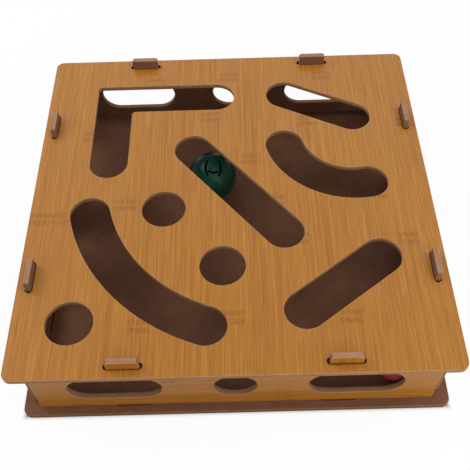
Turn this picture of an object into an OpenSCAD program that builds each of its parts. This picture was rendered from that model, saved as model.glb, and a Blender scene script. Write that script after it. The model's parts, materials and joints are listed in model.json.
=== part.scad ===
// Cat puzzle box: a flat-pack box of fibreboard with paw openings in its top
// and walls, held together by tabs that stand in slots, with two jingle balls
// loose inside. Millimetres, +Z up, front towards -Y. The origin is the middle
// of the base's underside.

/* [Panels] */
// Side of the square top and base panels
panel_size = 300; // [280:1:360]
// Thickness of every board, with its printed film
board_t = 4; // [3:0.5:6]
// Thickness of the bamboo-print film on one face of every board
film_t = 0.3; // [0.2:0.05:0.6]
// Radius of the panels' corners
panel_corner_r = 6; // [2:0.5:12]

/* [Walls] */
// Clear height between the base and the top
clear_h = 54; // [46:1:80]
// From a panel's edge to the outer face of the wall beside it
wall_inset = 6.5; // [5:0.5:10]
// From a wall's end to the inner face of the wall round the corner
corner_gap = 1.5; // [0.5:0.5:4]
// Height of the long openings in a wall
wall_slot_h = 30; // [20:1:34]
// Length of the long openings in a wall
wall_slot_len = 65; // [45:1:80]
// From a wall's end to the near end of a long opening
wall_slot_margin = 23.5; // [15:0.5:30]
// Diameter of the round opening in the middle of a wall
wall_hole_d = 30; // [20:1:34]

/* [Tabs] */
// Length of a tab along its wall
tab_len = 21.5; // [14:0.5:30]
// From a wall's end to the middle of a tab
tab_setback = 66; // [40:1:90]
// Height of the upper tabs above the top panel
tab_rise = 8.5; // [4:0.5:14]
// Radius of a tab's free corners
tab_corner_r = 2.2; // [0.5:0.1:3]
// Play on each side of a tab across its slot
tab_play = 0.5; // [0.2:0.1:1]
// From the base's underside up to the ends of the lower tabs
tab_recess = 0.3; // [0.1:0.1:1]

/* [Paw openings in the top] */
// Width of the slots
slot_w = 30; // [24:1:32]
// Diameter of the round holes
hole_d = 33; // [26:1:36]
// Middle of the round hole in the front left corner
corner_hole_at = [-110.5, -109]; // [-125:0.5:125]
// Middle of the round hole beside the diagonal slot
left_hole_at = [-50.5, -14.5]; // [-125:0.5:125]
// Middle of the round hole in front of the diagonal slot
front_hole_at = [-7, -66]; // [-125:0.5:125]
// Middle of the diagonal slot's back end
diagonal_from = [-29, 43.5]; // [-125:0.5:125]
// Middle of the diagonal slot's front end
diagonal_to = [38, -37.5]; // [-125:0.5:125]
// Middle of the front right slot's front end
front_slot_from = [49, -103]; // [-125:0.5:125]
// Middle of the front right slot's back end
front_slot_to = [105, -61.5]; // [-125:0.5:125]
// Middle of the back right slot's back end
back_slot_from = [46, 103]; // [-125:0.5:125]
// Middle of the back right slot's front end
back_slot_to = [99.5, 76]; // [-125:0.5:125]
// Centre of the arc that the small curved slot follows
small_arc_at = [95.5, 60]; // [-125:0.5:125]
// Radius of the small curved slot's centre line
small_arc_r = 54; // [45:0.5:60]
// Angles at which the small curved slot starts and ends
small_arc_deg = [194, 280]; // [0:1:360]
// Centre of the arc that the large curved slot follows
large_arc_at = [26, 14]; // [-125:0.5:125]
// Radius of the large curved slot's centre line
large_arc_r = 135; // [125:0.5:140]
// Angles at which the large curved slot starts and ends
large_arc_deg = [193.5, 250.5]; // [0:0.5:360]
// Outer corner of the angled slot
ell_corner_at = [-110.5, 117.5]; // [-125:0.5:125]
// Length of the angled slot's arm along the back wall
ell_arm_along = 114.5; // [80:0.5:125]
// Length of the angled slot's arm along the left wall
ell_arm_down = 100.5; // [70:0.5:105]
// Radius of the angled slot's two corners
ell_corner_r = 3; // [1:0.5:6]

/* [Jingle balls] */
// Outer diameter of a ball
ball_d = 40; // [32:0.5:46]
// Wall of a ball's half shells
ball_wall = 1.6; // [1.2:0.1:2.4]
// Height of the lip that centres the upper half shell on the lower one
ball_lip_h = 1.5; // [0.8:0.1:2.5]
// Play around that lip
ball_lip_play = 0.1; // [0.05:0.05:0.3]
// Width of the sound slots at each pole of a ball
sound_slot_w = 1.5; // [0.8:0.1:1.8]
// Radius of the two sound slots beside a pole
sound_side_r = 12; // [9:0.5:20]
// From a pole to the middle of each of these two
sound_side_at = 6.3; // [6:0.1:7.5]
// Angle that each of these two spans
sound_side_deg = 62; // [40:1:66]
// Radius of the sound slot in front of a pole
sound_front_r = 5.7; // [5:0.1:8]
// From a pole to the middle of this slot
sound_front_at = 4.3; // [3.5:0.1:4.6]
// Angle that this slot spans
sound_front_deg = 76; // [40:1:80]
// Gap between a loose ball, bell or pellet and what it lies on
loose_gap = 0.3; // [0.2:0.05:0.5]
// Middle of the green ball on the floor
green_at = [-16, 48]; // [-90:0.5:90]
// Lean of the green ball's pole towards the front and to the right
green_lean = [20, 5.5]; // [0:0.5:90]
// From the red ball to the right wall and to the front wall
red_wall_gap = [5.5, 1]; // [1:0.5:60]
// Lean and turn of the red ball's pole
red_lean = [60, 35]; // [0:1:90]

/* [Jingle bells] */
// Outer diameter of a bell
bell_d = 14; // [11:0.5:16]
// Sheet thickness of a bell
bell_wall = 0.5; // [0.3:0.1:0.8]
// Width of the slit across a bell's underside
bell_slit_w = 1.4; // [0.8:0.1:2]
// Diameter of the hole at each end of the slit
bell_hole_d = 2.8; // [2:0.1:3.4]
// Outer diameter of a bell's loop
bell_loop_d = 5; // [4:0.5:6]
// Wire thickness of a bell's loop
bell_loop_wire = 0.9; // [0.6:0.1:1.2]
// Diameter of the pellet in a bell
pellet_d = 4; // [3.6:0.1:5]

/* [Hidden] */
$fn = 96;

board_brown = "#8b6b50";
bamboo_tan = "#b88044";
ball_green = "#14483a";
ball_red = "#8e2331";
bell_silver = "#c9c7c1";
pellet_grey = "#77787a";

// Heights above the base's underside
floor_z = board_t;
wall_top_z = floor_z + clear_h;
top_face_z = wall_top_z + board_t;
wall_mid_z = floor_z + clear_h / 2;
core_t = board_t - film_t;

// Distances from the middle of the box, square to a wall and along it
wall_outer = panel_size / 2 - wall_inset;
wall_inner = wall_outer - board_t;
wall_middle = wall_outer - board_t / 2;
wall_half = wall_inner - corner_gap;
tab_along = wall_half - tab_setback;
wall_slot_along = wall_half - wall_slot_margin - wall_slot_len / 2;

// Overlap that joins shapes drawn one on another
joining = 1;
// How far a slot's round ends reach past its sides
end_ease = 0.02;

// Where the balls, bells and pellets lie
ball_r = ball_d / 2;
ball_z = floor_z + loose_gap + ball_r;
lip_r = ball_r - ball_wall / 2;
bell_r = bell_d / 2;
bell_drop = ball_r - ball_wall - loose_gap - bell_r;
pellet_drop = bell_r - bell_wall - loose_gap - pellet_d / 2;
green_place = [green_at.x, green_at.y, ball_z];
red_place = [
  wall_inner - ball_r - red_wall_gap.x,
  -(wall_inner - ball_r - red_wall_gap.y),
  ball_z
];

// Flat shapes

module rounded_square(side, r) {
  square([side, side - 2 * r], center = true);
  square([side - 2 * r, side], center = true);
  for (x = [-1, 1], y = [-1, 1])
    translate([x, y] * (side / 2 - r)) circle(r);
}

// The round end of a slot, eased so that its outline crosses the slot's sides
module slot_end(w) {
  circle(d = w + 2 * end_ease);
}

// A slot with round ends, from the middle of one end to the middle of the other
module round_slot(from, to, w) {
  run = to - from;
  translate(from) slot_end(w);
  translate(to) slot_end(w);
  translate(from)
    rotate(atan2(run.y, run.x))
      translate([0, -w / 2]) square([norm(run), w]);
}

// A slot with round ends that follows an arc about the origin
module arc_slot(r, degrees, w) {
  reach = 2 * r;
  middle = (degrees[0] + degrees[1]) / 2;
  half = (degrees[1] - degrees[0]) / 2;
  intersection() {
    difference() {
      circle(r + w / 2);
      circle(r - w / 2);
    }
    rotate(middle)
      polygon([[0, 0], reach * [cos(half), -sin(half)], reach * [cos(half), sin(half)]]);
  }
  for (a = degrees)
    rotate(a) translate([r, 0]) slot_end(w);
}

// An angled slot: its outer corner is at the origin, its arms run to the right
// and down, and the board's corner between them is rounded
module ell_slot() {
  along = ell_arm_along - slot_w / 2;
  down = ell_arm_down - slot_w / 2;
  difference() {
    union() {
      translate([0, -slot_w]) square([along, slot_w]);
      translate([along, -slot_w / 2]) slot_end(slot_w);
      translate([0, -down]) square([slot_w, down]);
      translate([slot_w / 2, -down]) slot_end(slot_w);
      translate([slot_w, -slot_w - ell_corner_r]) square(ell_corner_r);
    }
    translate([slot_w + ell_corner_r, -slot_w - ell_corner_r]) circle(ell_corner_r);
    outer_corner_waste();
  }
}

// What the rounding takes off the angled slot's outer corner
module outer_corner_waste() {
  difference() {
    translate([-joining, -ell_corner_r]) square(ell_corner_r + joining);
    translate([ell_corner_r, -ell_corner_r]) circle(ell_corner_r);
    translate([ell_corner_r, -ell_corner_r]) square(ell_corner_r + joining);
  }
}

module paw_openings() {
  for (at = [corner_hole_at, left_hole_at, front_hole_at])
    translate(at) circle(d = hole_d);
  round_slot(diagonal_from, diagonal_to, slot_w);
  round_slot(front_slot_from, front_slot_to, slot_w);
  round_slot(back_slot_from, back_slot_to, slot_w);
  translate(small_arc_at) arc_slot(small_arc_r, small_arc_deg, slot_w);
  translate(large_arc_at) arc_slot(large_arc_r, large_arc_deg, slot_w);
  translate(ell_corner_at) ell_slot();
}

// Slots for the tabs of all four walls, with round ends just beyond each tab
module tab_slots() {
  half = tab_len / 2 - tab_play;
  for (turn = [0:3])
    rotate(90 * turn)
      for (x = [-tab_along, tab_along])
        translate([x, -wall_middle]) round_slot([-half, 0], [half, 0], board_t + 2 * tab_play);
}

module base_shape() {
  difference() {
    rounded_square(panel_size, panel_corner_r);
    tab_slots();
  }
}

module top_shape() {
  difference() {
    base_shape();
    paw_openings();
  }
}

// A tab that stands up from the origin by its rise and reaches down into its wall
module tab_shape(rise) {
  flat = tab_len - 2 * tab_corner_r;
  translate([-tab_len / 2, -joining]) square([tab_len, rise - tab_corner_r + joining]);
  translate([-flat / 2, 0]) square([flat, rise]);
  for (x = [-flat / 2, flat / 2])
    translate([x, rise - tab_corner_r]) circle(tab_corner_r);
}

// A wall seen from outside: along it and up
module wall_shape() {
  difference() {
    union() {
      translate([-wall_half, floor_z]) square([2 * wall_half, clear_h]);
      for (x = [-tab_along, tab_along]) {
        translate([x, wall_top_z]) tab_shape(board_t + tab_rise);
        translate([x, floor_z]) mirror([0, 1]) tab_shape(board_t - tab_recess);
      }
    }
    translate([0, wall_mid_z]) circle(d = wall_hole_d);
    for (side = [-1, 1])
      translate([side * wall_slot_along, wall_mid_z])
        round_slot(
          [-(wall_slot_len - wall_slot_h) / 2, 0],
          [(wall_slot_len - wall_slot_h) / 2, 0],
          wall_slot_h
        );
  }
}

// Stands a wall's shape on its side of the box: 0 front, 1 right, 2 back, 3 left.
// The shape's own +Z then points out of the box, with 0 at the outer face.
module on_side(turn) {
  rotate(90 * turn)
    translate([0, -wall_outer, 0])
      rotate([90, 0, 0]) children();
}

module wall_core(turn) {
  color(board_brown)
    on_side(turn)
      translate([0, 0, -board_t]) linear_extrude(core_t) wall_shape();
}

module wall_film(turn) {
  color(bamboo_tan)
    on_side(turn)
      translate([0, 0, -film_t]) linear_extrude(film_t) wall_shape();
}

// The box

module base_board() {
  color(board_brown)
    translate([0, 0, film_t]) linear_extrude(core_t) base_shape();
}

module base_film() {
  color(bamboo_tan) linear_extrude(film_t) base_shape();
}

module front_wall() { wall_core(0); }
module front_film() { wall_film(0); }
module right_wall() { wall_core(1); }
module right_film() { wall_film(1); }
module back_wall() { wall_core(2); }
module back_film() { wall_film(2); }
module left_wall() { wall_core(3); }
module left_film() { wall_film(3); }

module top_board() {
  color(board_brown)
    translate([0, 0, wall_top_z]) linear_extrude(core_t) top_shape();
}

module top_film() {
  color(bamboo_tan)
    translate([0, 0, top_face_z - film_t]) linear_extrude(film_t) top_shape();
}

// The balls, each about its own middle with its poles up and down

// Half section of a hollow sphere, beside the axis
module shell_section(d, wall) {
  intersection() {
    difference() {
      circle(d = d);
      circle(d = d - 2 * wall);
    }
    translate([0, -d / 2]) square([d / 2, d]);
  }
}

// Three arc-shaped slots through the wall at the upper pole
module sound_slots() {
  side_half = sound_side_deg / 2;
  front_half = sound_front_deg / 2;
  for (turn = [0, 180])
    rotate(turn)
      translate([sound_side_at - sound_side_r, 0, 0])
        linear_extrude(ball_d) arc_slot(sound_side_r, [-side_half, side_half], sound_slot_w);
  translate([0, sound_front_r - sound_front_at, 0])
    linear_extrude(ball_d) arc_slot(sound_front_r, [-90 - front_half, -90 + front_half], sound_slot_w);
}

module ball_lower() {
  difference() {
    rotate_extrude()
      intersection() {
        shell_section(ball_d, ball_wall);
        union() {
          translate([0, -ball_d]) square(ball_d);
          translate([0, -joining]) square([lip_r, ball_lip_h + joining]);
        }
      }
    mirror([0, 0, 1]) sound_slots();
  }
}

module ball_upper() {
  difference() {
    rotate_extrude()
      difference() {
        shell_section(ball_d, ball_wall);
        translate([0, -ball_d]) square(ball_d);
        square([lip_r + ball_lip_play, ball_lip_h + ball_lip_play]);
      }
    sound_slots();
  }
}

// A bell about its own middle, loop up and slit down
module bell() {
  loop_r = (bell_loop_d - bell_loop_wire) / 2;
  difference() {
    union() {
      rotate_extrude() shell_section(bell_d, bell_wall);
      translate([0, 0, bell_r - bell_wall / 2 + loop_r])
        rotate([90, 0, 0])
          rotate_extrude() translate([loop_r, 0]) circle(d = bell_loop_wire);
    }
    translate([-bell_d, -bell_slit_w / 2, -bell_d]) cube([2 * bell_d, bell_slit_w, bell_d]);
    rotate([0, 90, 0]) cylinder(d = bell_hole_d, h = 2 * bell_d, center = true);
  }
}

module pellet() {
  sphere(d = pellet_d);
}

module in_green_ball(lift = 0) {
  translate(green_place + [0, 0, lift]) children();
}

module in_red_ball(lift = 0) {
  translate(red_place + [0, 0, lift]) children();
}

module green_ball_lower() {
  color(ball_green) in_green_ball() rotate([green_lean[0], green_lean[1], 0]) ball_lower();
}

module green_ball_upper() {
  color(ball_green) in_green_ball() rotate([green_lean[0], green_lean[1], 0]) ball_upper();
}

module green_bell() {
  color(bell_silver) in_green_ball(-bell_drop) bell();
}

module green_pellet() {
  color(pellet_grey) in_green_ball(-bell_drop - pellet_drop) pellet();
}

module red_ball_lower() {
  color(ball_red) in_red_ball() rotate([red_lean[0], 0, red_lean[1]]) ball_lower();
}

module red_ball_upper() {
  color(ball_red) in_red_ball() rotate([red_lean[0], 0, red_lean[1]]) ball_upper();
}

module red_bell() {
  color(bell_silver) in_red_ball(-bell_drop) bell();
}

module red_pellet() {
  color(pellet_grey) in_red_ball(-bell_drop - pellet_drop) pellet();
}

base_board();
base_film();
front_wall();
front_film();
right_wall();
right_film();
back_wall();
back_film();
left_wall();
left_film();
top_board();
top_film();
green_ball_lower();
green_ball_upper();
green_bell();
green_pellet();
red_ball_lower();
red_ball_upper();
red_bell();
red_pellet();
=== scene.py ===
"""Looks of a flat-pack cat puzzle box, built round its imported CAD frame.

The object's sizes are in millimetres, and the studio's in metres.
"""

import json

import bpy
import numpy as np
from mathutils import Matrix, Vector
from mathutils.geometry import delaunay_2d_cdt


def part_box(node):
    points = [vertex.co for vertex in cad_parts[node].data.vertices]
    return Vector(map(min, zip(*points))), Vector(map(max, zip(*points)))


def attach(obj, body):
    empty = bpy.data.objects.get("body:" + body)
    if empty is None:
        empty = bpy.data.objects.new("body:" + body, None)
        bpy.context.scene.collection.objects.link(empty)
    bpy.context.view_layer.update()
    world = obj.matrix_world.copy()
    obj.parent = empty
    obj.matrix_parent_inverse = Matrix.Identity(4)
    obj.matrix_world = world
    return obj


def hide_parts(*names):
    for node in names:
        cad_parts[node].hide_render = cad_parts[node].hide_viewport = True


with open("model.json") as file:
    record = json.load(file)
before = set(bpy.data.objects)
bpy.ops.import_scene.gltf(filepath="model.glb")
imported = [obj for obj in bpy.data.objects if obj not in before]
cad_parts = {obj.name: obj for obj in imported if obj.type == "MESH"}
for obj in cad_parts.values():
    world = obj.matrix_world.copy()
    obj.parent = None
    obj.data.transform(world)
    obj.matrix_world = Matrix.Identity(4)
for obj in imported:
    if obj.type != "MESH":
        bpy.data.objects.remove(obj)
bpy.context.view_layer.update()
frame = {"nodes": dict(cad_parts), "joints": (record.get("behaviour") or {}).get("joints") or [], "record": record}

# Base board: a square of raw fibreboard with rounded corners, routed through for the walls' lower tabs.
# Its plain upper side is the floor of the box. Its edges take a board a little less red than its faces and
# darker than the walls' sawn edges, as painted shade, and its tab slots are painted dark with shade.
metre = 1000.0
touching = 1e-6
square = np.array([(-1, -1), (1, -1), (1, 1), (-1, 1)])
arris_swing = np.linspace(0, np.pi / 2, 5)

# The order of a board's skins, and how far along the plan's first axis its rim faces where it is an end.
flat_skin, rim_skin, cut_skin, slot_skin = range(4)
end_facing = 0.7


def node_box(node):
    """A CAD node's lowest and highest corners in millimetres."""
    return np.round(metre * np.array(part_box(node)), 2)


def without_repeats(points, facing):
    """Drops each outline point that lies on the next one."""
    apart = np.linalg.norm(points - np.roll(points, -1, 0), axis=1) > touching
    return points[apart], facing[apart]


def rounded_outline(corners, radii, steps):
    """Outline of a polygon given anticlockwise, with rounded corners, and the ways that face out of it.

    At each corner the path turns by a signed angle. An arc of the given radius starts the radius times the
    tangent of half that angle before the corner, and turns evenly about a middle on the turn's inner side.
    """
    corners = np.asarray(corners, float)
    radius = np.broadcast_to(np.asarray(radii, float), len(corners))[:, None]
    going = np.roll(corners, -1, 0) - corners
    going /= np.linalg.norm(going, axis=1, keepdims=True)
    came = np.roll(going, 1, 0)
    turn = np.arctan2(came[:, 0] * going[:, 1] - came[:, 1] * going[:, 0], (came * going).sum(1))[:, None]
    side = np.sign(turn)
    left = np.stack([-came[:, 1], came[:, 0]], 1)
    middle = corners - came * radius * np.tan(abs(turn) / 2) + side * radius * left
    first = np.arctan2(-side[:, 0] * left[:, 1], -side[:, 0] * left[:, 0])[:, None]
    angle = first + turn * np.linspace(0, 1, steps)
    away = np.stack([np.cos(angle), np.sin(angle)], 2)
    points = middle[:, None] + radius[:, None] * away
    return without_repeats(points.reshape(-1, 2), (side[:, None] * away).reshape(-1, 2))


def straight_slot(start, end, width, steps):
    """Outline of a slot with half-round ends: a rectangle on the line, with corners of half its width."""
    start, end = np.array(start, float), np.array(end, float)
    along = (end - start) / np.linalg.norm(end - start)
    across = np.array([-along[1], along[0]]) * width / 2
    reach = along * width / 2
    low, high = start - reach, end + reach
    return rounded_outline([low - across, high - across, high + across, low + across], width / 2, steps)


def filled_plan(rims, inside):
    """Points and anticlockwise triangles that fill a plan between rims, and meet at some points inside.

    The outer rim is given anticlockwise and the holes' rims clockwise. A triangle with all its points on one
    rim is in a hole, and is left out, where they run against that rim's order.
    """
    sizes = np.array([len(rim) for rim in rims])
    rim_of = np.append(np.repeat(np.arange(len(rims)), sizes), -1 - np.arange(len(inside)))
    index = np.arange(sizes.sum())
    ring_start = np.repeat(np.cumsum(sizes) - sizes, sizes)
    following = ring_start + (index - ring_start + 1) % np.repeat(sizes, sizes)
    plan = [Vector(point) for point in np.concatenate([*rims, inside])]
    found = delaunay_2d_cdt(plan, np.stack([index, following], 1).tolist(), [], 1, touching)
    points, tri = np.array([tuple(point) for point in found[0]]), np.array(found[2])
    on = rim_of[tri]
    size = sizes[np.clip(on[:, 0], 0, None)]
    against = (tri[:, 1] - tri[:, 0]) % size > (tri[:, 2] - tri[:, 0]) % size
    in_hole = (on[:, 0] == on[:, 1]) & (on[:, 0] == on[:, 2]) & against
    return points, tri[~in_hole]


def band(start, grid):
    """Faces that join each ring of a grid of points to the next ring, the points numbered from a start."""
    index = start + np.arange(grid.shape[0] * grid.shape[1]).reshape(grid.shape[:2])
    beside = np.roll(index, -1, 1)
    return np.stack([index[:-1], beside[:-1], beside[1:], index[1:]], 2).reshape(-1, 4)


def board(name, outside, cuts, tab_cuts, levels, eases, stand, skins, end_skin=rim_skin):
    """A flat board between two levels, with cuts through it, as one closed mesh.

    The edge is a profile of insets and heights, carried along every outline. At each arris it is a quarter
    of an ellipse, eased in by the first size and over the height of the second. The flats fill what lies
    between the outlines' first rings and between their last. The flats, the rim, the cuts and the tab slots
    have a skin each, and where the rim faces along the plan's first axis it may have another of them.
    """
    (low, high), (low_ease, high_ease) = levels, eases
    low_inset = low_ease[0] * (1 - np.sin(arris_swing))
    high_inset = high_ease[0] * (1 - np.cos(arris_swing))
    low_height = low + low_ease[1] * (1 - np.cos(arris_swing))
    high_height = high - high_ease[1] * (1 - np.sin(arris_swing))
    inset, height = np.append(low_inset, high_inset), np.append(low_height, high_height)
    keep = np.append(True, np.hypot(np.diff(inset), np.diff(height)) > touching)
    inset, height = inset[keep], height[keep]
    loops = [outside] + [(points[::-1], -facing[::-1]) for points, facing in cuts + tab_cuts]
    loop_skins = [rim_skin] + [cut_skin] * len(cuts) + [slot_skin] * len(tab_cuts)
    rings, places, quads, marks, starts, count = [], [], [], [], [], 0
    for (points, facing), skin in zip(loops, loop_skins):
        plan = points[None] - inset[:, None, None] * facing[None]
        lift = np.broadcast_to(height[:, None, None], (*plan.shape[:2], 1))
        rings.append(plan)
        places.append(np.concatenate([plan, lift], 2).reshape(-1, 3))
        quads.append(band(count, plan))
        marks.append(np.full(len(quads[-1]), skin))
        starts.append(count)
        count += len(places[-1])
    at_end = abs(outside[1][:, 0]) > end_facing
    marks[0] = np.tile(np.where(at_end, end_skin, rim_skin), len(inset) - 1)
    flats = []
    for row, way in ((0, -1), (len(inset) - 1, 1)):
        names = np.concatenate([s + row * r.shape[1] + np.arange(r.shape[1]) for s, r in zip(starts, rings)])
        filled = filled_plan([r[row] for r in rings], np.empty((0, 2)))[1]
        flats.append(names[filled[:, ::way]])
    quads, flats = np.concatenate(quads), np.concatenate(flats)
    marks = np.concatenate([*marks, np.full(len(flats), flat_skin)]).astype(np.int32)
    made = bpy.data.meshes.new(name)
    place = np.concatenate(places) / metre @ np.array(stand).T
    made.from_pydata(place.tolist(), [], quads.tolist() + flats.tolist())
    made.polygons.foreach_set("use_smooth", marks != flat_skin)
    made.polygons.foreach_set("material_index", marks)
    for skin in skins:
        made.materials.append(skin)
    return made


def in_scene(name, data):
    """A new object of the scene that holds a mesh, a lamp or a camera."""
    made = bpy.data.objects.new(name, data)
    bpy.context.scene.collection.objects.link(made)
    return made


def piece(mesh, body, slot, *nodes):
    """Puts a mesh on show as a piece that rides on a body and stands for CAD nodes."""
    shown = in_scene(mesh.name, mesh)
    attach(shown, body)
    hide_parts(*nodes)


def written(red, green, blue):
    """A colour as it is written on a screen, 0 to 255, as the shader's linear colour."""
    share = np.array([red, green, blue]) / 255
    linear = np.where(share < 0.04045, share / 12.92, ((share + 0.055) / 1.055) ** 2.4)
    return (*linear.tolist(), 1.0)


def feed(node, inputs):
    """Links the inputs that are given a socket, and sets the others."""
    for key, value in inputs.items():
        if isinstance(value, bpy.types.NodeSocket):
            node.id_data.links.new(value, node.inputs[key])
        else:
            node.inputs[key].default_value = value


def node_adder(tree):
    """A function that adds a node with its settings and inputs, and gives its outputs."""
    def add(kind, inputs, **settings):
        node = tree.nodes.new("ShaderNode" + kind)
        for key, value in settings.items():
            setattr(node, key, value)
        feed(node, inputs)
        return node.outputs
    return add


def start_finish(name):
    """A new material, its shader, and a function that adds nodes to it."""
    made = bpy.data.materials.new(name)
    made.use_nodes = True
    return made, made.node_tree.nodes["Principled BSDF"], node_adder(made.node_tree)


def sum_up(add, operation, first, second=0.0):
    """One step of arithmetic on sockets or numbers."""
    return add("Math", {0: first, 1: second}, operation=operation)[0]


def between(add, value, low, high, to_low=0.0, to_high=1.0):
    """A value from low to high, eased into another range and held at its ends."""
    steps = {"Value": value, "From Min": low, "From Max": high, "To Min": to_low, "To Max": to_high}
    return add("MapRange", steps, interpolation_type="SMOOTHSTEP")[0]


def blended(add, share, first, second):
    """Two colours mixed by a share."""
    return add("Mix", {0: share, 6: first, 7: second}, data_type="RGBA")[2]


def fibreboard(name, pale, deep, fleck):
    """Fibreboard: pressed wood fibre, seen as a soft mottle, fine hairs of fibre and dark flecks."""
    made, shader, add = start_finish(name)
    spot = add("TexCoord", {})["Object"]
    mottle = add("TexNoise", {"Vector": spot, "Scale": 95.0, "Detail": 4.0, "Roughness": 0.6})[0]
    fine = {"Vector": spot, "Scale": 900.0, "Detail": 3.0, "Roughness": 0.7, "Distortion": 1.2}
    hairs = add("TexNoise", fine)[0]
    specks = add("TexVoronoi", {"Vector": spot, "Scale": 420.0})[0]
    colour = blended(add, between(add, mottle, 0.2, 0.8), written(*deep), written(*pale))
    colour = blended(add, between(add, hairs, 0.4, 0.75, 0.0, 0.45), colour, written(*deep))
    colour = blended(add, between(add, specks, 0.2, 0.1, 0.0, 0.5), colour, written(*fleck))
    rough = between(add, hairs, 0.3, 0.7, 0.78, 0.92)
    bump = add("Bump", {"Strength": 0.25, "Distance": 0.00012, "Height": hairs})[0]
    feed(shader, {"Base Color": colour, "Roughness": rough, "Normal": bump, "Specular IOR Level": 0.25})
    return made


raw_board = fibreboard("raw_fibreboard", (126, 85, 62), (109, 71, 51), (85, 53, 37))
# The next board is a darker copy of the sawn edge board. It is painted shade for edges that lie in shade: inside
# the paw openings, at the wall ends, and round the base and its film.
painted_shade_edge_board = fibreboard("fibreboard_edge_painted_shade", (138, 99, 69), (122, 86, 59), (98, 66, 44))
# The tab slot board is darker still: painted shade down in the narrow slots.
painted_shade_slot_board = fibreboard("tab_slot_painted_shade", (86, 55, 39), (70, 43, 30), (52, 30, 21))
base_skins = [raw_board, painted_shade_edge_board, painted_shade_edge_board, painted_shade_slot_board]

base_low, base_high = node_box("base_board")
wall_outer = -node_box("front_film")[0][1]
wall_inner = -node_box("front_wall")[1][1]
board_thick = wall_outer - wall_inner
panel_half = base_high[0]
panel_round = 6.0
panel_steps = 17
tab_along = 72.0
tab_length = 21.5
tab_play = 0.5
tab_slot_steps = 13
sawn_ease = (0.4, 0.4)
sharp = (0.0, 0.0)

panel_outline = rounded_outline(panel_half * square, panel_round, panel_steps)
tab_line = (wall_outer + wall_inner) / 2
tab_reach = tab_length / 2 - tab_play
tab_slot_width = board_thick + 2 * tab_play
quarter_turn = np.array([[0, -1], [1, 0]])
tab_slots = []
for turn in range(4):
    for x in (-tab_along, tab_along):
        ends = np.array([(x - tab_reach, -tab_line), (x + tab_reach, -tab_line)])
        ends = ends @ np.linalg.matrix_power(quarter_turn, turn).T
        tab_slots.append(straight_slot(*ends, tab_slot_width, tab_slot_steps))

lying = np.eye(3)
base_levels = (base_low[2], base_high[2])
base_shape = (panel_outline, [], tab_slots)
base_mesh = board("base_panel_board", *base_shape, base_levels, (sharp, sawn_ease), lying, base_skins)
piece(base_mesh, "box", "fibreboard", "base_board")

# Base film: a paper-thin bamboo print glued to the base's underside before the panel was cut.
# It is satin, and its edges take the board's darker edge colours, as painted shade.
film_ease = (0.16, 0.12)
strip_width = 15.8
strip_change = 7.31
grain_dark, grain_pale = (156, 95, 22), (188, 128, 46)
strip_tint = (186, 126, 52)
fibre_brown = (146, 84, 20)
dash_brown = (138, 78, 16)
node_spacing = 234.0
node_row = 3.2
row_core, row_edge = 1.2, 3.0

# Each strip's first node along the panel, as a share of the spacing.
strip_nodes = [0.55, 0.55, 0.9, 0.83, 0.6, 0.16, 0.62, 0.82, 0.98, 0.18]
strip_nodes += [0.78, 0.6, 0.45, 0.95, 0.175, 0.3, 0.62, 0.44, 0.93]


def bamboo_print(name, across, along):
    """Satin film printed with bamboo strips.

    Strips lie side by side across the grain. Each has its own tint, its own place for the two rows of short
    brown dashes at a bamboo node, grain drawn out along the strip, and finer, darker, broken fibres.
    """
    made, shader, add = start_finish(name)
    spot = add("SeparateXYZ", {0: add("TexCoord", {})["Object"]})
    over = sum_up(add, "MULTIPLY", spot[across], metre)
    down = sum_up(add, "MULTIPLY", spot[along], metre)
    strips = sum_up(add, "DIVIDE", sum_up(add, "ADD", over, strip_width / 2), strip_width)
    strip = sum_up(add, "FLOOR", strips)
    count = len(strip_nodes)
    where = add("ValToRGB", {0: sum_up(add, "DIVIDE", sum_up(add, "ADD", strip, count / 2), count)})[0]
    ramp = where.node.color_ramp
    ramp.interpolation = "CONSTANT"
    for i in range(count - 2):
        ramp.elements.new((i + 1) / count)
    for i, share in enumerate(strip_nodes):
        ramp.elements[i].position = i / count
        ramp.elements[i].color = (share, share, share, 1)
    start = sum_up(add, "DIVIDE", sum_up(add, "ADD", down, panel_half), node_spacing)
    turns = sum_up(add, "ADD", sum_up(add, "SUBTRACT", start, where), 0.5)
    off = sum_up(add, "ABSOLUTE", sum_up(add, "SUBTRACT", sum_up(add, "FRACT", turns), 0.5))
    off_row = sum_up(add, "SUBTRACT", sum_up(add, "MULTIPLY", off, node_spacing), node_row)
    on_row = between(add, sum_up(add, "ABSOLUTE", off_row), row_edge, row_core)

    def drawn_out(per_mm_across, per_mm_along, detail, rough):
        """Noise stretched along the grain, different in each strip."""
        grid = {
            0: sum_up(add, "MULTIPLY", over, per_mm_across),
            1: sum_up(add, "MULTIPLY", down, per_mm_along),
            2: sum_up(add, "MULTIPLY", strip, strip_change),
        }
        spots = add("CombineXYZ", grid)[0]
        return add("TexNoise", {"Vector": spots, "Scale": 1.0, "Detail": detail, "Roughness": rough})[0]

    tint = add("TexWhiteNoise", {"W": strip}, noise_dimensions="1D")[0]
    grain = drawn_out(1.2, 0.008, 3.0, 0.7)
    fibres = drawn_out(2.2, 0.04, 2.0, 0.55)
    dashes = drawn_out(1.1, 0.3, 3.0, 0.65)
    colour = blended(add, between(add, grain, 0.3, 0.7), written(*grain_dark), written(*grain_pale))
    colour = blended(add, between(add, tint, 0.0, 1.0, 0.0, 0.18), colour, written(*strip_tint))
    colour = blended(add, between(add, fibres, 0.46, 0.68, 0.0, 0.55), colour, written(*fibre_brown))
    marks = sum_up(add, "MULTIPLY", on_row, between(add, dashes, 0.4, 0.6, 0.05, 0.64))
    colour = blended(add, marks, colour, written(*dash_brown))
    rough = between(add, grain, 0.3, 0.7, 0.32, 0.26)
    bump = add("Bump", {"Strength": 0.12, "Distance": 0.00005, "Height": grain})[0]
    feed(shader, {"Base Color": colour, "Roughness": rough, "Normal": bump})
    return made


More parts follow.
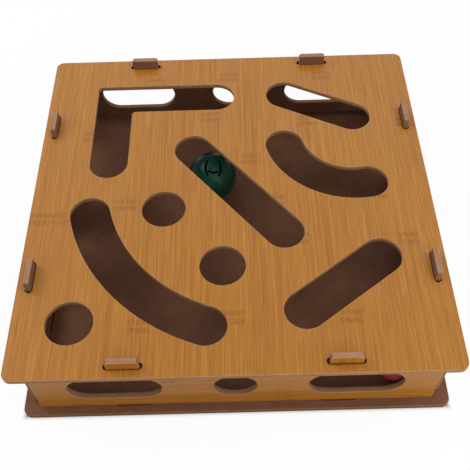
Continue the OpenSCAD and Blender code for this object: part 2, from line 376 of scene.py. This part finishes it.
panel_print = bamboo_print("panel_bamboo_print", "X", "Y")
underside_skins = [panel_print, painted_shade_edge_board, painted_shade_edge_board, painted_shade_slot_board]
underside_levels = tuple(node_box("base_film")[:, 2])
underside_eases = (film_ease, sharp)
underside = (underside_levels, underside_eases, lying, underside_skins)
piece(board("base_panel_print", *base_shape, *underside), "box", "bamboo_print", "base_film")

# Walls: four alike strips of the same board, film outwards, sawn pale along their tabs and darker at
# their ends and paw openings, as painted shade. Two tabs of each stand in the base, and two taller ones
# come up through the top.
front_low, front_high = node_box("front_wall")
top_low, top_high = node_box("top_board")
wall_half = front_high[0]
wall_low = base_high[2]
wall_high = top_low[2]
wall_seam = -front_low[1]
wall_end_round = 0.5
wall_steps = 9
tab_foot = front_low[2]
tab_top = front_high[2]
tab_round = 2.2
tab_root = 0.25
opening_height = 30.0
opening_length = 65.0
opening_along = 82.0
opening_steps = 25
wall_hole = 30.0


def round_hole(middle, diameter):
    """A circle, as a square whose corners have half its side for radius."""
    return rounded_outline(np.array(middle) + square * diameter / 2, diameter / 2, opening_steps)


lower_tabs, upper_tabs = [], []
for x in (-tab_along, tab_along):
    near, far = x - tab_length / 2, x + tab_length / 2
    lower_tabs += [(near, wall_low), (near, tab_foot), (far, tab_foot), (far, wall_low)]
    upper_tabs += [(near, wall_high), (near, tab_top), (far, tab_top), (far, wall_high)]
wall_corners = [(-wall_half, wall_low), *lower_tabs, (wall_half, wall_low)]
wall_corners += [(wall_half, wall_high), *upper_tabs[::-1], (-wall_half, wall_high)]
tab_radii = [tab_root, tab_round, tab_round, tab_root] * 2
wall_radii = [wall_end_round, *tab_radii, wall_end_round] * 2
wall_outline = rounded_outline(wall_corners, wall_radii, wall_steps)
opening_middle = (wall_low + wall_high) / 2
opening_reach = (opening_length - opening_height) / 2
wall_openings = [round_hole((0, opening_middle), wall_hole)]
for x in (-opening_along, opening_along):
    ends = (x - opening_reach, opening_middle), (x + opening_reach, opening_middle)
    wall_openings.append(straight_slot(*ends, opening_height, opening_steps))


def film_edge(name, clean, grubby):
    """Cut edge of the film: pale paper, a little grubby."""
    made, shader, add = start_finish(name)
    spot = add("TexCoord", {})["Object"]
    dirt = add("TexNoise", {"Vector": spot, "Scale": 160.0, "Detail": 4.0})[0]
    colour = blended(add, between(add, dirt, 0.35, 0.7), written(*clean), written(*grubby))
    feed(shader, {"Base Color": colour, "Roughness": 0.6})
    return made


def rotation(degrees, axis):
    """A turn about an axis."""
    return Matrix.Rotation(np.radians(degrees), 3, axis)


paper_edge = film_edge("film_cut_edge", (198, 150, 102), (176, 128, 84))
sawn_board = fibreboard("sawn_fibreboard", (170, 131, 101), (152, 114, 86), (120, 86, 62))
wall_skins = [raw_board, sawn_board, painted_shade_edge_board]
board_levels, film_levels = (wall_inner, wall_seam), (wall_seam, wall_outer)
upright = np.array([[1, 0, 0], [0, 0, -1], [0, 1, 0]])
wall_shape = (wall_outline, wall_openings, [])
cross_print = bamboo_print("cross_wall_bamboo_print", "Z", "X")
side_print = bamboo_print("side_wall_bamboo_print", "Z", "Y")
walls = (("front", cross_print), ("right", side_print), ("back", cross_print), ("left", side_print))
for turn, (side, wall_print) in enumerate(walls):
    stand = np.array(rotation(90 * turn, "Z")).round() @ upright
    wall_cut = (board_levels, (sawn_ease, sharp), stand, wall_skins, cut_skin)
    piece(board(f"{side}_wall_board", *wall_shape, *wall_cut), "box", "fibreboard", f"{side}_wall")
    film_cut = (film_levels, (sharp, film_ease), stand, [wall_print, paper_edge, paper_edge])
    piece(board(f"{side}_wall_print", *wall_shape, *film_cut), "box", "bamboo_print", f"{side}_film")

# Top panel: the same square board with its film upwards, routed with round holes and with straight, angled
# and curved slots for a paw. It lies loose on the walls and its own slots drop over their upper tabs.
slot_width = 30.0
hole_width = 33.0
curve_steps = 49


def curved_slot(middle, radius, degrees, width, steps):
    """Outline of a slot along an arc: each point of the middle line, moved half the width the way it faces.

    It faces away from the middle along the outer side, turns half round the far end, faces the middle along
    the inner side, and turns half round the near end.
    """
    first, last = np.radians(degrees)
    on_way = np.linspace(first, last, steps)
    half_turn = np.linspace(0, np.pi, steps)
    still = np.ones(steps)
    at = np.concatenate([on_way, last * still, on_way[::-1], first * still])
    faced = np.concatenate([on_way, last + half_turn, on_way[::-1] + np.pi, first + np.pi + half_turn])
    facing = np.stack([np.cos(faced), np.sin(faced)], 1)
    points = np.array(middle) + radius * np.stack([np.cos(at), np.sin(at)], 1) + width / 2 * facing
    return without_repeats(points, facing)


bend_x, bend_y = -110.5, 117.5
arm_x, arm_y = bend_x + 114.5, bend_y - 100.5
inner_x, inner_y = bend_x + slot_width, bend_y - slot_width
angled_corners = [(bend_x, arm_y), (inner_x, arm_y), (inner_x, inner_y)]
angled_corners += [(arm_x, inner_y), (arm_x, bend_y), (bend_x, bend_y)]
arm_round, bend_round = slot_width / 2, 3.0
angled_radii = [arm_round, arm_round, bend_round] * 2
paw_openings = [
    round_hole((-110.5, -109), hole_width),
    round_hole((-50.5, -14.5), hole_width),
    round_hole((-7, -66), hole_width),
    straight_slot((-29, 43.5), (38, -37.5), slot_width, opening_steps),
    straight_slot((49, -103), (105, -61.5), slot_width, opening_steps),
    straight_slot((46, 103), (99.5, 76), slot_width, opening_steps),
    curved_slot((95.5, 60), 54, (194, 280), slot_width, curve_steps),
    curved_slot((26, 14), 135, (193.5, 250.5), slot_width, curve_steps),
    rounded_outline(angled_corners, angled_radii, opening_steps),
]
rim_board = fibreboard("rim_fibreboard", (162, 120, 89), (146, 105, 77), (116, 82, 58))
# Its paw openings' edges take the darker edge board as painted shade, and its tab slots take the darkest board.
top_skins = [raw_board, rim_board, painted_shade_edge_board, painted_shade_slot_board]
film_skins = [panel_print, paper_edge, paper_edge, painted_shade_slot_board]
top_shape = (panel_outline, paw_openings, tab_slots)
top_levels = (top_low[2], top_high[2])
top_mesh = board("top_panel_board", *top_shape, top_levels, (sawn_ease, sharp), lying, top_skins)
piece(top_mesh, "top", "fibreboard", "top_board")
print_levels = tuple(node_box("top_film")[:, 2])
print_mesh = board("top_panel_print", *top_shape, print_levels, (sharp, film_ease), lying, film_skins)
piece(print_mesh, "top", "bamboo_print", "top_film")

# Balls: each is two moulded half shells of glossy plastic, pushed together over a lip at the seam. Three
# arc-shaped slots at each pole, one at each side and one in front, let the sound out.
rolling = frame["record"]["behaviour"]["couplings"][0]["ratio"]
ball_radius = metre / rolling
ball_wall = 1.6
lip_radius = ball_radius - ball_wall / 2
lip_height = 1.5
lip_play = 0.1
seam_arris = 0.3
sound_width = 1.5
sound_arris = 0.3
sound_steps = 21
side_curve, side_reach, side_span = 12.0, 6.3, 31.0
front_curve, front_reach, front_span = 5.7, 4.3, 38.0
cap_radius = 10.0
around = 96
section_steps = 33
crease = 40.0

# Rings of points inside the cap: the first one's radius and their spacing, the points on a ring for each
# millimetre of its radius and the few more that each has, and how far they keep off the cap's rims.
first_ring, ring_spacing = 0.6, 0.75
ring_points, more_points = 8, 5
clear_of_cap, clear_of_slots = 0.3, 0.25


def half_shell(name, lower, skin, lean, place):
    """One half of a ball, its pole turned by lean and its middle at place.

    Beyond the cap it is a section turned about the pole. The cap is a flat plan with the sound slots cut
    out, raised so that each point is the ball's radius less its depth from the middle. A slot's edge is a
    quarter circle of insets and depths, then a straight run through the wall, carried along the outline.
    """
    arcs = [
        ((side_reach - side_curve, 0), side_curve, 0, side_span),
        ((side_curve - side_reach, 0), side_curve, 180, side_span),
        ((0, front_curve - front_reach), front_curve, 270, front_span),
    ]
    slots = []
    for at, curve, mid, half in arcs:
        slots.append(curved_slot(at, curve, (mid - half, mid + half), sound_width, sound_steps))

    def raised(plan, depth):
        """Plan points lifted to the sphere that lies a depth below the ball's surface."""
        return np.column_stack([plan, np.sqrt((ball_radius - depth) ** 2 - (plan**2).sum(1))])

    def circle(points):
        """Points spaced evenly round a circle of radius one."""
        angle = np.linspace(0, 2 * np.pi, points, endpoint=False)
        return np.stack([np.cos(angle), np.sin(angle)], 1)

    def slot_distance(spots):
        """How far plan points lie outside the nearest sound slot."""
        nearest = np.inf
        for at, curve, mid, half in arcs:
            off = spots - at
            ring = np.linalg.norm(off, axis=1)
            angle = (np.degrees(np.arctan2(off[:, 1], off[:, 0])) - mid + 180) % 360 - 180
            over = np.radians(np.clip(abs(angle) - half, 0, None))
            apart = np.sqrt((ring - curve) ** 2 + 4 * ring * curve * np.sin(over / 2) ** 2)
            nearest = np.minimum(nearest, apart - sound_width / 2)
        return nearest

    ring_radii = np.arange(first_ring, cap_radius - clear_of_cap, ring_spacing)
    fill = np.concatenate([r * circle(int(ring_points * r) + more_points) for r in ring_radii])
    places, faces, count = [], [], 0
    for depth, inset, outward in ((0.0, sound_arris, True), (ball_wall, 0.0, False)):
        rims = [(points + inset * facing)[::-1] for points, facing in slots]
        clear = fill[slot_distance(fill) > inset + clear_of_slots]
        plan, tri = filled_plan([cap_radius * circle(around), *rims], clear)
        faces.append(count + (tri if outward else tri[:, ::-1]))
        places.append(raised(plan, depth))
        count += len(plan)

    inset = np.append(sound_arris * (1 - np.sin(arris_swing)), 0.0)
    depth = np.append(sound_arris * (1 - np.cos(arris_swing)), ball_wall)
    edge = list(zip(inset, depth))
    carried = [np.stack([raised(points + i * out, d)[::-1] for i, d in edge]) for points, out in slots]

    inner = ball_radius - ball_wall
    cap_fall, seam_fall = np.arcsin(cap_radius / ball_radius), np.arccos(seam_arris / ball_radius)
    fall = np.linspace(cap_fall, seam_fall, section_steps)
    outside = ball_radius * np.stack([np.sin(fall), np.cos(fall)], 1)
    corner = outside[-1] + seam_arris * np.stack([np.cos(arris_swing) - 1, -np.sin(arris_swing)], 1)
    step, reach = (lip_radius, -lip_height) if lower else (lip_radius + lip_play, lip_height + lip_play)
    rise = np.linspace(np.arccos(reach / inner), np.arcsin(cap_radius / inner), section_steps)
    hollow = inner * np.stack([np.sin(rise), np.cos(rise)], 1)
    section = np.concatenate([outside, corner[1:], [(step, 0.0), (step, reach)], hollow])
    height = np.broadcast_to(section[:, None, 1:], (len(section), around, 1))
    turned = np.concatenate([section[:, None, :1] * circle(around)[None], height], 2)
    quads = []
    for grid in [*carried, turned]:
        quads.append(np.roll(band(count, grid)[:, ::-1], 1, 1))
        places.append(grid.reshape(-1, 3))
        count += len(places[-1])

    faces, quads = np.concatenate(faces), np.concatenate(quads)
    spots, same = np.unique(np.concatenate(places).round(4), axis=0, return_inverse=True)
    same = same.reshape(-1)
    if lower:
        spots = spots * (1, 1, -1)
        faces, quads = faces[:, ::-1], quads[:, ::-1]
    spots = (spots @ np.array(lean).T + place) / metre
    made = bpy.data.meshes.new(name)
    made.from_pydata(spots.tolist(), [], same[quads].tolist() + same[faces].tolist())
    made.polygons.foreach_set("use_smooth", np.ones(len(made.polygons), bool))
    made.set_sharp_from_angle(angle=np.radians(crease))
    made.materials.append(skin)
    return made


def moulded_plastic(name, colour, deep):
    """Glossy moulded plastic: faint flow streaks in the colour and fine scuffs in the gloss."""
    made, shader, add = start_finish(name)
    spot = add("TexCoord", {})["Object"]
    flow = add("TexNoise", {"Vector": spot, "Scale": 70.0, "Detail": 3.0, "Distortion": 0.8})[0]
    scuffs = add("TexNoise", {"Vector": spot, "Scale": 420.0, "Detail": 5.0, "Roughness": 0.7})[0]
    tone = blended(add, between(add, flow, 0.35, 0.65), written(*deep), written(*colour))
    gloss = between(add, scuffs, 0.4, 0.75, 0.3, 0.42)
    feed(shader, {"Base Color": tone, "Roughness": gloss, "Specular IOR Level": 0.25})
    return made


green_lean = rotation(5.5, "Y") @ rotation(20, "X")
red_lean = rotation(35, "Z") @ rotation(60, "X")
green_skin = moulded_plastic("green_moulded_plastic", (21, 71, 51), (15, 59, 43))
red_skin = moulded_plastic("red_moulded_plastic", (146, 48, 57), (128, 39, 48))
placed = [joint for joint in frame["joints"] if "pos_m" in joint]
ball_middles = {joint["child"]: metre * np.array(joint["pos_m"]) for joint in placed}
for colour, skin, lean in (("green", green_skin, green_lean), ("red", red_skin, red_lean)):
    middle = ball_middles[f"{colour}_ball"]
    for part in ("lower", "upper"):
        shell = half_shell(f"{colour}_ball_{part}_shell", part == "lower", skin, lean, middle)
        piece(shell, f"{colour}_ball", f"{colour}_plastic", f"{colour}_ball_{part}")

# Bells: stamped from thin plated sheet, with a cross slit and a wire loop, each with a loose steel pellet in
# it. They lie at the bottom of the balls and show only through the sound slots.
worn_share = 0.72


def plated_metal(name, colour, gloss):
    """Bright plate with drawn lines and a little tarnish."""
    made, shader, add = start_finish(name)
    spot = add("TexCoord", {})["Object"]
    lines = add("Mapping", {"Vector": spot, "Scale": (300, 300, 4000)})[0]
    drawn = add("TexNoise", {"Vector": lines, "Scale": 1.0, "Detail": 3.0})[0]
    tarnish = add("TexNoise", {"Vector": spot, "Scale": 260.0, "Detail": 4.0})[0]
    worn = worn_share * np.array(colour)
    tone = blended(add, between(add, tarnish, 0.4, 0.75, 0.0, 0.7), written(*colour), written(*worn))
    rough = between(add, drawn, 0.3, 0.7, gloss, gloss + 0.15)
    feed(shader, {"Base Color": tone, "Metallic": 1.0, "Roughness": rough})
    return made


bell_skin = plated_metal("plated_bell_sheet", (214, 211, 203), 0.22)
pellet_skin = plated_metal("bare_pellet_steel", (150, 150, 152), 0.3)
for colour in ("green", "red"):
    for part, skin in (("bell", bell_skin), ("pellet", pellet_skin)):
        node = frame["nodes"][f"{colour}_{part}"]
        node.data.materials.clear()
        node.data.materials.append(skin)

# Studio: a plain white floor in a white surround, with even light all round, a soft box at each side and two
# low cards at the front right, one of them near. Under and close to the box the floor's colour is darkened, a
# painted shadow on top of its own, and beyond the box it looks white.
floor_half = 4.0
floor_drop = 0.0003
floor_white = 0.92
box_edge, contact_painted_shadow = (0.147, 0.153), (0.05, 0.95)
mirror_edge = (0.145, 0.22)
bounce_edge, bounce_painted_shadow = (0.15, 0.19), (0.38, 0.58)
surround_light = 0.72
overhead, overhead_mirrored = (0.72, 0.94), 0.3


def looked_at(add, ray):
    """Whether a ray comes from the camera, also through something clear."""
    return sum_up(add, "MAXIMUM", ray["Is Camera Ray"], ray["Is Transmission Ray"])


floor_mesh = bpy.data.meshes.new("studio_floor")
floor_mesh.from_pydata([(x, y, -floor_drop) for x, y in floor_half * square], [], [(0, 1, 2, 3)])
floor = in_scene("studio_floor", floor_mesh)
floor_skin, shader, add = start_finish("white_floor")
floor_skin.node_tree.nodes.remove(shader)
spot = add("SeparateXYZ", {0: add("TexCoord", {})["Object"]})
away = sum_up(add, "MAXIMUM", sum_up(add, "ABSOLUTE", spot["X"]), sum_up(add, "ABSOLUTE", spot["Y"]))
ray = add("LightPath", {})
seen = looked_at(add, ray)
in_view = sum_up(add, "MULTIPLY", seen, between(add, away, *box_edge, 0.0, floor_white))
mirrored = sum_up(add, "MULTIPLY", ray["Is Glossy Ray"], between(add, away, *mirror_edge, 0.0, floor_white))
# Painted shadow: for camera rays the floor's own colour is nearly black under the box, and for rays that bounce or
# reflect off it the floor is darker close to the box.
seen_painted_shadow = between(add, away, *box_edge, *contact_painted_shadow)
thrown_painted_shadow = between(add, away, *bounce_edge, *bounce_painted_shadow)
matt = add("BsdfDiffuse", {"Color": add("Mix", {0: seen, 2: thrown_painted_shadow, 3: seen_painted_shadow})[0]})[0]
white = add("Emission", {"Strength": 1.0})[0]
shown = add("MixShader", {0: sum_up(add, "ADD", in_view, mirrored), 1: matt, 2: white})[0]
feed(floor_skin.node_tree.nodes["Material Output"], {"Surface": shown})
floor_mesh.materials.append(floor_skin)

world = bpy.data.worlds.new("white_surround")
bpy.context.scene.world = world
world.use_nodes = True
add = node_adder(world.node_tree)
ray = add("LightPath", {})
height = add("SeparateXYZ", {0: add("TexCoord", {})["Generated"]})["Z"]
plain = between(add, looked_at(add, ray), 0.0, 1.0, surround_light, 1.0)
mirrored = between(add, height, *overhead, 1.0, overhead_mirrored)
strength = add("Mix", {0: ray["Is Glossy Ray"], 2: plain, 3: mirrored})[0]
feed(world.node_tree.nodes["Background"], {"Color": (1, 1, 1, 1), "Strength": strength})

# Each lamp's name, width, distance, degrees round the box from its front, degrees up, and power.
lamps = (
    ("left_softbox", 0.7, 1.4, 250.0, 40.0, 4.9),
    ("right_softbox", 0.7, 1.4, 70.0, 60.0, 3.1),
    ("low_front_card", 0.7, 1.4, 35.0, 22.0, 1.4),
    ("near_right_card", 0.2, 0.42, 46.0, 12.0, 0.22),
)
for name, lamp_size, lamp_distance, turned, raised, power in lamps:
    lamp_data = bpy.data.lights.new(name, "AREA")
    lamp_data.shape = "DISK"
    lamp_data.size = lamp_size
    lamp_data.energy = power
    lamp = in_scene(name, lamp_data)
    side, up = np.radians([turned, raised])
    level = lamp_distance * np.cos(up)
    lamp.location = (level * np.sin(side), -level * np.cos(side), lamp_distance * np.sin(up))
    lamp.rotation_euler = lamp.location.to_track_quat("Z", "Y").to_euler()

# Camera: a short tele lens, looking down on the front of the box as the photograph does. It stands back from
# a point on the top along the line of sight, and is rolled a little about that line.
elevation, azimuth, roll = np.radians([54.62638, 0.56354, 2.00722])
aim = np.array([2.20503, -40.28225, print_levels[1]])
distance = 518.17811
level = np.cos(elevation)
sight = np.array([np.sin(azimuth) * level, -np.cos(azimuth) * level, np.sin(elevation)])
right = np.cross(-sight, (0, 0, 1))
right /= np.linalg.norm(right)
down = np.cross(-sight, right)
lens = bpy.data.cameras.new("photo_camera")
lens.sensor_width = 36.0
lens.lens = 54.80949
lens.clip_start = 0.01
camera = in_scene("photo_camera", lens)
pose = Matrix.Identity(4)
pose.col[0][:3] = np.cos(roll) * right + np.sin(roll) * down
pose.col[1][:3] = np.sin(roll) * right - np.cos(roll) * down
pose.col[2][:3] = sight
pose.col[3][:3] = (aim + distance * sight) / metre
camera.matrix_world = pose
bpy.context.scene.camera = camera
bpy.context.scene.view_settings.view_transform = "Standard"
